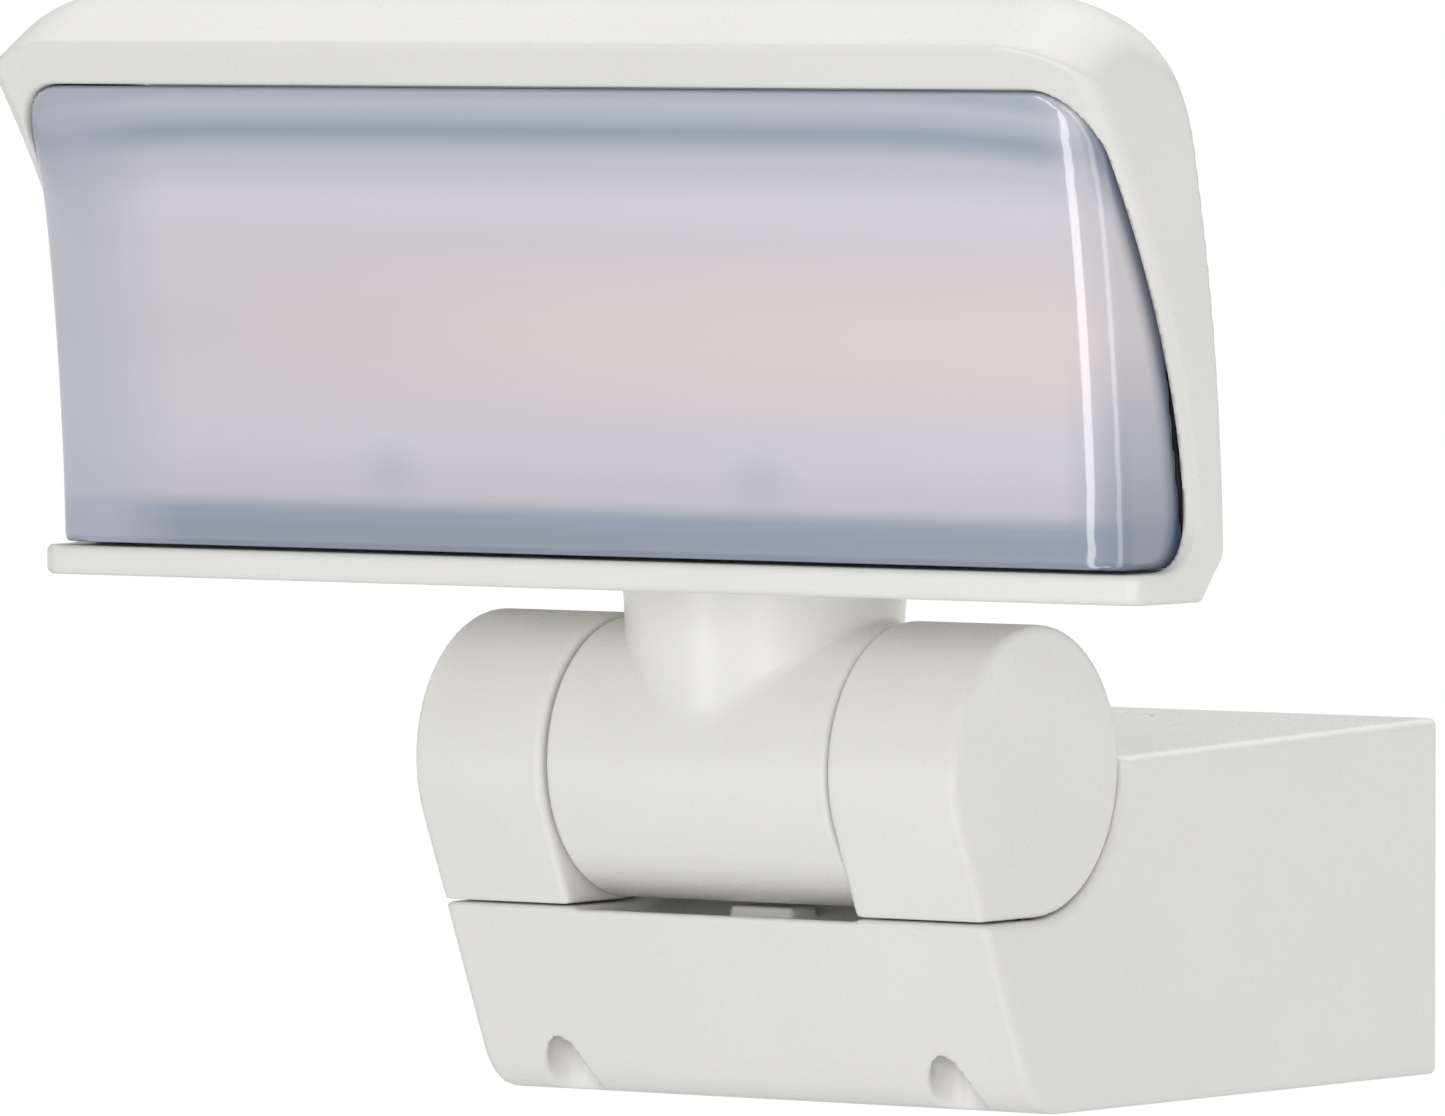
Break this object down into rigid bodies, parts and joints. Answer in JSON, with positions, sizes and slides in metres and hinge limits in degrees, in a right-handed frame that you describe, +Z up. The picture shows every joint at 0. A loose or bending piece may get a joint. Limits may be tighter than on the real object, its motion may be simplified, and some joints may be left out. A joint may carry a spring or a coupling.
{
  "type": "outdoor LED wall spotlight",
  "caption": "White outdoor LED wall spotlight: a wide visored lamp head with a frosted diffuser that tilts and pans on a tee-shaped swivel held by a wall box.",
  "frame": {"origin": "centre of the wall face of the wall plate", "axes": "+Z up, +Y into the wall, +X to the viewer's right when facing the lamp; the lamp shines towards -Y"},
  "size_m": [0.1784, 0.1538, 0.1493],
  "materials": {
    "white_plastic": "fine-grained warm white moulded plastic",
    "inner_plastic": "plain off-white moulded plastic",
    "grey_plastic": "mid-grey moulded plastic",
    "black_plastic": "black moulded plastic",
    "frosted_diffuser": "frosted polycarbonate with a glossy skin",
    "tray_white": "bright white reflector plastic",
    "rubber": "black elastomer seal",
    "steel": "zinc-plated steel",
    "aluminium": "rolled sheet",
    "brass": "plain brass and copper",
    "circuit_board": "green solder mask",
    "led_board": "white solder mask with emitters",
    "lead_jacket": "flexible cable jacket"
  },
  "bodies": {
    "base": {"wall_plate": "inner_plastic", "base_housing": "white_plastic", "hinge_lug_left": "white_plastic", "hinge_lug_right": "white_plastic", "lug_screw_left": "steel", "lug_screw_right": "steel", "fixing_screw": "steel", "fixing_screw_plug": "white_plastic", "cable_grommet": "rubber", "cable_clamp": "grey_plastic", "cable_clamp_screw_left": "steel", "cable_clamp_screw_right": "steel", "terminal_block": "grey_plastic", "terminal_screw_1": "brass", "terminal_screw_2": "brass", "terminal_screw_3": "brass", "block_screw_left": "steel", "block_screw_right": "steel", "base_lead": "lead_jacket"},
    "swivel": {"swivel_tee": "white_plastic", "tilt_seal_left": "rubber", "tilt_seal_right": "rubber", "tilt_washer_left": "steel", "tilt_washer_right": "steel", "tilt_nut_left": "grey_plastic", "tilt_nut_right": "grey_plastic", "pan_seal": "rubber", "pan_washer": "steel", "pan_nut": "grey_plastic", "neck_lead": "lead_jacket"},
    "head": {"hood": "white_plastic", "diffuser": "frosted_diffuser", "diffuser_gasket": "rubber", "light_tray": "tray_white", "tray_screw_left": "steel", "tray_screw_right": "steel", "heat_spreader": "aluminium", "led_board_left": "led_board", "led_board_right": "led_board", "rear_housing": "white_plastic", "housing_screw_1": "steel", "housing_screw_2": "steel", "housing_screw_3": "steel", "housing_screw_4": "steel", "vent_plug": "grey_plastic", "driver_board": "circuit_board", "driver_transformer": "black_plastic", "driver_capacitor": "black_plastic", "driver_choke": "brass", "driver_connector": "inner_plastic", "board_screw_1": "steel", "board_screw_2": "steel", "head_lead": "lead_jacket"}
  },
  "joints": [
    {"name": "tilt", "type": "hinge", "parent": "base", "child": "swivel", "pos_m": [0, -0.095, 0.021], "axis": [1, 0, 0], "range_deg": [-12, 90]},
    {"name": "pan", "type": "hinge", "parent": "swivel", "child": "head", "pos_m": [0, -0.095, 0.0456], "axis": [0, 0, 1], "range_deg": [-90, 90]}
  ]
}
